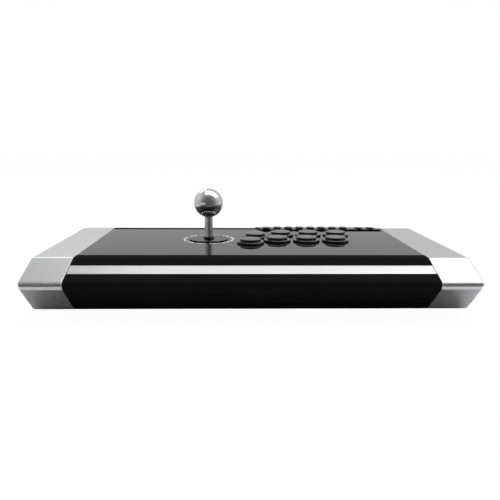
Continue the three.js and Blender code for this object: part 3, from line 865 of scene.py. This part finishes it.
def stage_card(name, low, high, colour, glow=0.0, camera=False):
    """A plain card or floor, low and high its box's corners, with a diffuse colour and a soft glow."""
    thing = bpy.data.objects.new(name, slab_z(name, rectangle(low, high), low[2], high[2]))
    bpy.context.scene.collection.objects.link(thing)
    material, tree_nodes, _ = node_material(name)
    shader = tree_nodes["Principled BSDF"]
    shader.inputs["Base Color"].default_value = (*grey(colour), 1)
    shader.inputs["Roughness"].default_value = 0.9
    shader.inputs["Specular IOR Level"].default_value = 0
    shader.inputs["Emission Color"].default_value = (1, 1, 1, 1)
    shader.inputs["Emission Strength"].default_value = glow
    thing.data.materials.append(material)
    thing.visible_camera = camera
    return thing


def softbox(name, place, aim, size, radiance):
    """A rectangular area light of an even radiance that points at a spot."""
    data = bpy.data.lights.new(name, "AREA")
    data.shape = "RECTANGLE"
    data.size, data.size_y = size
    data.energy = radiance * math.pi * size[0] * size[1]
    light = bpy.data.objects.new(name, data)
    bpy.context.scene.collection.objects.link(light)
    facing = (Vector(aim) - Vector(place)).to_track_quat("-Z", "Y").to_matrix().to_4x4()
    light.matrix_world = Matrix.Translation(place) @ facing


# How bright the studio is in front and behind, and by how much a raised direction and the zenith differ.
WORLD = {"front": 0.12, "back": 0.76, "lifted": 1.15, "zenith": 0.75}


def world_light():
    """A pale studio all round, brightest behind; where the camera sees it, it is plain white."""
    world = bpy.data.worlds.new("studio")
    bpy.context.scene.world = world
    world.use_nodes = True
    tree = world.node_tree
    tree.nodes.clear()
    coordinates = tree.nodes.new("ShaderNodeTexCoord")
    split = tree.nodes.new("ShaderNodeSeparateXYZ")
    tree.links.new(coordinates.outputs["Generated"], split.inputs["Vector"])

    def ramp(axis, start, end, low, high):
        """From low to high while the direction's part along an axis goes from start to end."""
        step = tree.nodes.new("ShaderNodeMapRange")
        step.interpolation_type = "SMOOTHSTEP"
        for key, value in (("From Min", start), ("From Max", end), ("To Min", low), ("To Max", high)):
            step.inputs[key].default_value = value
        tree.links.new(split.outputs[axis], step.inputs["Value"])
        return step.outputs["Result"]

    def product(a, b):
        """Two levels multiplied."""
        node = tree.nodes.new("ShaderNodeMath")
        node.operation = "MULTIPLY"
        tree.links.new(a, node.inputs[0])
        tree.links.new(b, node.inputs[1])
        return node.outputs["Value"]

    along = ramp("Y", -0.97, 0.35, WORLD["front"], WORLD["back"])
    level = product(along, ramp("Z", 0.5, 0.9, 1, WORLD["zenith"]))
    level = product(level, ramp("Z", 0.2, 0.38, 1, WORLD["lifted"]))
    backdrop = tree.nodes.new("ShaderNodeBackground")
    tree.links.new(level, backdrop.inputs["Strength"])
    seen = tree.nodes.new("ShaderNodeBackground")
    seen.inputs["Color"].default_value = (1, 1, 1, 1)
    path = tree.nodes.new("ShaderNodeLightPath")
    mix = tree.nodes.new("ShaderNodeMixShader")
    tree.links.new(path.outputs["Is Camera Ray"], mix.inputs["Fac"])
    tree.links.new(backdrop.outputs["Background"], mix.inputs[1])
    tree.links.new(seen.outputs["Background"], mix.inputs[2])
    output = tree.nodes.new("ShaderNodeOutputWorld")
    tree.links.new(mix.outputs["Shader"], output.inputs["Surface"])


def studio():
    """The floor that the camera sees, the unseen floors that light the case, and the softboxes."""
    seen = stage_card("floor", (-6, -6, -0.002), (6, 6, 0), 0.05, 0.97, camera=True)
    seen.visible_glossy = False
    seen.visible_diffuse = False
    stage_card("floor_near", (-0.5, -0.15, -0.004), (0.5, 0.3, -0.003), 0.72)
    stage_card("floor_front", (-0.5, -0.22, -0.004), (0.5, -0.15, -0.003), 0.8, 0.25)
    stage_card("floor_left", (-0.5, -0.15, -0.002), (-0.25, 0.15, -0.001), 0.8, 0.6)
    stage_card("floor_right", (0.25, -0.15, -0.002), (0.5, 0.0, -0.001), 0.8, 1.0)
    stage_card("floor_dark", (0.25, 0.0, -0.002), (0.6, 0.3, -0.001), 0.1)
    softbox("overhead", (0.69, 0.33, 1.5), (0.69, 0.33, 0), (2.42, 1.25), 1.7)
    softbox("overhead_right", (1.2, 0.33, 1.49), (1.2, 0.33, 0), (1.4, 1.25), 0.6)
    softbox("front_left", (-0.9, -0.85, 0.12), (-0.05, 0, 0.1), (1.0, 0.3), 0.35)
    softbox("kicker", (-0.62, 1.35, 1.0), (-0.1, 0, 0.05), (0.7, 0.55), 1.5)


add_camera()
world_light()
studio()
bpy.context.scene.view_settings.view_transform = "Standard"
